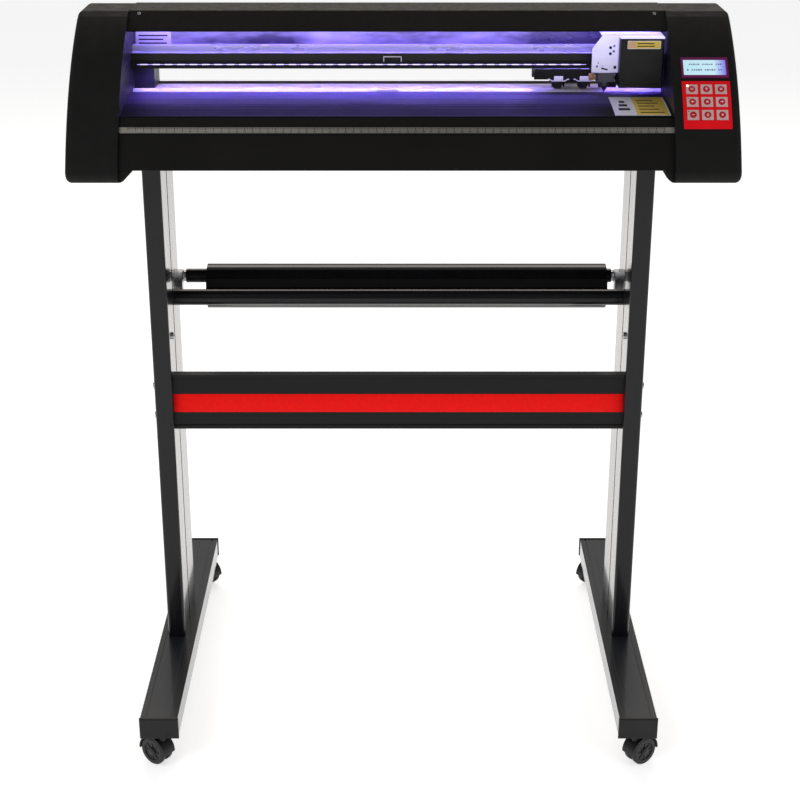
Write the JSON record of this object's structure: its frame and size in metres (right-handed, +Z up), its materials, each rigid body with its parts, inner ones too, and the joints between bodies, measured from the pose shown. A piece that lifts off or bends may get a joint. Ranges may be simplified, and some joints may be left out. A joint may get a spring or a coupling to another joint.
{
  "type": "vinyl cutter",
  "caption": "Roll-fed vinyl cutting plotter on a castor stand: a head with a sliding blade carriage, pinch wheels over a grit shaft, keypad and display, and a media roll on a rod.",
  "frame": {"origin": "on the floor, under the centre of the machine's overall box", "axes": "+X to the operator's right, +Y away from the operator, +Z up"},
  "size_m": [0.8688, 0.557, 0.972],
  "materials": {
    "textured_plastic": "fine moulded texture",
    "castor_wheel": "satin tread",
    "powder_coat": "satin powder coat",
    "black_extrusion": "black anodised, fine die lines",
    "bright_steel": "turned",
    "black_rod": "satin",
    "cardboard": "pressed paper",
    "vinyl_film": "glossy film",
    "rail_anodised": "dark anodised",
    "belt_rubber": "toothed",
    "wheel_rubber": "moulded",
    "led_white": "lit",
    "rule_metal": "printed scale",
    "display_frame": "smooth",
    "keypad_red": "film",
    "key_grey": "film",
    "circuit_board": "solder mask",
    "motor_case": "satin",
    "rocker_plastic": "smooth",
    "carriage_silver": "brushed",
    "brass": "knurled"
  },
  "bodies": {
    "machine_frame": {"foot_left": "black_extrusion", "foot_right": "black_extrusion", "leg_left": "black_extrusion", "leg_right": "black_extrusion", "extrusion_end_plugs": "textured_plastic", "stand_bolts": "bright_steel", "crossbeam": "black_extrusion", "front_bar": "powder_coat", "roll_rod_brackets": "bright_steel", "base_chassis": "powder_coat", "bed": "black_extrusion", "front_apron": "powder_coat", "ruler_strip": "rule_metal", "top_cover": "powder_coat", "rear_cover": "powder_coat", "side_frames": "powder_coat", "rail": "rail_anodised", "led_strip": "led_white", "left_cap": "textured_plastic", "right_cap": "textured_plastic", "lcd_module": "display_frame", "keypad_membrane": "keypad_red", "circuit_boards": "circuit_board", "socket_panel": "textured_plastic", "stepper_motors": "motor_case", "drive_belt": "belt_rubber"},
    "carriage": {"carriage_plate": "carriage_silver", "carriage_cover": "textured_plastic", "guide_block": "carriage_silver"},
    "tool_lift": {"tool_clamp": "carriage_silver", "blade_holder": "carriage_silver"},
    "clamp_knob": {"clamp_knob": "brass"},
    "pinch_slider": {"pinch_bracket": "textured_plastic"},
    "pinch_arm": {"pinch_arm": "textured_plastic"},
    "pinch_wheels": {"pinch_wheels": "wheel_rubber"},
    "grit_shaft": {"grit_shaft": "bright_steel"},
    "motor_pinion": {"motor_pinion": "bright_steel"},
    "drive_pulley": {"drive_pulley": "bright_steel"},
    "idler_pulley": {"idler_pulley": "bright_steel"},
    "power_rocker": {"power_rocker": "rocker_plastic"},
    "roll_rod": {"roll_rod": "black_rod"},
    "media_roll": {"vinyl_roll": "vinyl_film", "roll_core": "cardboard"},
    "key_1": {"key_1": "key_grey"},
    "key_2": {"key_2": "key_grey"},
    "key_3": {"key_3": "key_grey"},
    "key_4": {"key_4": "key_grey"},
    "key_5": {"key_5": "key_grey"},
    "key_6": {"key_6": "key_grey"},
    "key_7": {"key_7": "key_grey"},
    "key_8": {"key_8": "key_grey"},
    "key_9": {"key_9": "key_grey"},
    "castor_hood_front_left": {"castor_hood_front_left": "textured_plastic"},
    "castor_wheels_front_left": {"castor_wheels_front_left": "castor_wheel"},
    "castor_hood_rear_left": {"castor_hood_rear_left": "textured_plastic"},
    "castor_wheels_rear_left": {"castor_wheels_rear_left": "castor_wheel"},
    "castor_hood_front_right": {"castor_hood_front_right": "textured_plastic"},
    "castor_wheels_front_right": {"castor_wheels_front_right": "castor_wheel"},
    "castor_hood_rear_right": {"castor_hood_rear_right": "textured_plastic"},
    "castor_wheels_rear_right": {"castor_wheels_rear_right": "castor_wheel"}
  },
  "joints": [
    {"name": "carriage_slide", "type": "slide", "parent": "machine_frame", "child": "carriage", "axis": [1, 0, 0], "range_m": [-0.6, 0]},
    {"name": "tool_lift", "type": "slide", "parent": "carriage", "child": "tool_lift", "axis": [0, 0, 1], "range_m": [-0.004, 0], "stiffness_N_per_m": 250, "springref_m": 0.005},
    {"name": "clamp_knob_turn", "type": "hinge", "parent": "tool_lift", "child": "clamp_knob", "pos_m": [0.2555, 0.02, 0.89], "axis": [1, 0, 0], "range_deg": [0, 360]},
    {"name": "pinch_slide", "type": "slide", "parent": "machine_frame", "child": "pinch_slider", "axis": [1, 0, 0], "range_m": [-0.49, 0.035]},
    {"name": "pinch_raise", "type": "hinge", "parent": "pinch_slider", "child": "pinch_arm", "pos_m": [0.228, 0.078, 0.884], "axis": [-1, 0, 0], "range_deg": [0, 8]},
    {"name": "pinch_wheel_spin", "type": "hinge", "parent": "pinch_arm", "child": "pinch_wheels", "pos_m": [0.22625, 0.052, 0.8778], "axis": [1, 0, 0], "continuous": true},
    {"name": "grit_shaft_spin", "type": "hinge", "parent": "machine_frame", "child": "grit_shaft", "pos_m": [0, 0.052, 0.862], "axis": [1, 0, 0], "continuous": true},
    {"name": "motor_pinion_spin", "type": "hinge", "parent": "machine_frame", "child": "motor_pinion", "pos_m": [-0.377, 0.052, 0.83185], "axis": [1, 0, 0], "continuous": true},
    {"name": "drive_pulley_spin", "type": "hinge", "parent": "machine_frame", "child": "drive_pulley", "pos_m": [0.377, 0.0545, 0.902], "axis": [0, 0, 1], "continuous": true},
    {"name": "idler_pulley_spin", "type": "hinge", "parent": "machine_frame", "child": "idler_pulley", "pos_m": [-0.386, 0.0545, 0.902], "axis": [0, 0, 1], "continuous": true},
    {"name": "power_rocker_tip", "type": "hinge", "parent": "machine_frame", "child": "power_rocker", "pos_m": [0.4302, 0.049, 0.828], "axis": [0, -1, 0], "range_deg": [0, 12]},
    {"name": "media_roll_spin", "type": "hinge", "parent": "machine_frame", "child": "media_roll", "pos_m": [0.005, 0.072, 0.5802], "axis": [1, 0, 0], "continuous": true},
    {"name": "roll_rod_spin", "type": "hinge", "parent": "machine_frame", "child": "roll_rod", "pos_m": [-0.0064, 0.072, 0.5954], "axis": [1, 0, 0], "continuous": true},
    {"name": "key_1_press", "type": "slide", "parent": "machine_frame", "child": "key_1", "axis": [0, 0.7478, -0.6639], "range_m": [0, 0.0006], "stiffness_N_per_m": 400, "springref_m": -0.001},
    {"name": "key_2_press", "type": "slide", "parent": "machine_frame", "child": "key_2", "axis": [0, 0.7478, -0.6639], "range_m": [0, 0.0006], "stiffness_N_per_m": 400, "springref_m": -0.001},
    {"name": "key_3_press", "type": "slide", "parent": "machine_frame", "child": "key_3", "axis": [0, 0.7478, -0.6639], "range_m": [0, 0.0006], "stiffness_N_per_m": 400, "springref_m": -0.001},
    {"name": "key_4_press", "type": "slide", "parent": "machine_frame", "child": "key_4", "axis": [0, 0.7782, -0.628], "range_m": [0, 0.0006], "stiffness_N_per_m": 400, "springref_m": -0.001},
    {"name": "key_5_press", "type": "slide", "parent": "machine_frame", "child": "key_5", "axis": [0, 0.7782, -0.628], "range_m": [0, 0.0006], "stiffness_N_per_m": 400, "springref_m": -0.001},
    {"name": "key_6_press", "type": "slide", "parent": "machine_frame", "child": "key_6", "axis": [0, 0.7782, -0.628], "range_m": [0, 0.0006], "stiffness_N_per_m": 400, "springref_m": -0.001},
    {"name": "key_7_press", "type": "slide", "parent": "machine_frame", "child": "key_7", "axis": [0, 0.807, -0.5906], "range_m": [0, 0.0006], "stiffness_N_per_m": 400, "springref_m": -0.001},
    {"name": "key_8_press", "type": "slide", "parent": "machine_frame", "child": "key_8", "axis": [0, 0.807, -0.5906], "range_m": [0, 0.0006], "stiffness_N_per_m": 400, "springref_m": -0.001},
    {"name": "key_9_press", "type": "slide", "parent": "machine_frame", "child": "key_9", "axis": [0, 0.807, -0.5906], "range_m": [0, 0.0006], "stiffness_N_per_m": 400, "springref_m": -0.001},
    {"name": "castor_swivel_front_left", "type": "hinge", "parent": "machine_frame", "child": "castor_hood_front_left", "pos_m": [-0.3319, -0.261, 0.046], "axis": [0, 0, 1], "continuous": true},
    {"name": "castor_roll_front_left", "type": "hinge", "parent": "castor_hood_front_left", "child": "castor_wheels_front_left", "pos_m": [-0.33845, -0.25641, 0.02], "axis": [-0.5736, -0.8192, 0], "continuous": true},
    {"name": "castor_swivel_rear_left", "type": "hinge", "parent": "machine_frame", "child": "castor_hood_rear_left", "pos_m": [-0.3319, 0.261, 0.046], "axis": [0, 0, 1], "continuous": true},
    {"name": "castor_roll_rear_left", "type": "hinge", "parent": "castor_hood_rear_left", "child": "castor_wheels_rear_left", "pos_m": [-0.32535, 0.25641, 0.02], "axis": [0.5736, 0.8192, 0], "continuous": true},
    {"name": "castor_swivel_front_right", "type": "hinge", "parent": "machine_frame", "child": "castor_hood_front_right", "pos_m": [0.3191, -0.261, 0.046], "axis": [0, 0, 1], "continuous": true},
    {"name": "castor_roll_front_right", "type": "hinge", "parent": "castor_hood_front_right", "child": "castor_wheels_front_right", "pos_m": [0.32565, -0.25641, 0.02], "axis": [-0.5736, 0.8192, 0], "continuous": true},
    {"name": "castor_swivel_rear_right", "type": "hinge", "parent": "machine_frame", "child": "castor_hood_rear_right", "pos_m": [0.3191, 0.261, 0.046], "axis": [0, 0, 1], "continuous": true},
    {"name": "castor_roll_rear_right", "type": "hinge", "parent": "castor_hood_rear_right", "child": "castor_wheels_rear_right", "pos_m": [0.31255, 0.25641, 0.02], "axis": [0.5736, -0.8192, 0], "continuous": true}
  ],
  "couplings": [
    {"joint": "motor_pinion_spin", "follows": "grit_shaft_spin", "ratio": -3},
    {"joint": "pinch_wheel_spin", "follows": "grit_shaft_spin", "ratio": -0.63158},
    {"joint": "drive_pulley_spin", "follows": "carriage_slide", "rad_per_m": 125},
    {"joint": "idler_pulley_spin", "follows": "carriage_slide", "rad_per_m": 125},
    {"joint": "roll_rod_spin", "follows": "media_roll_spin", "ratio": 2.56}
  ]
}
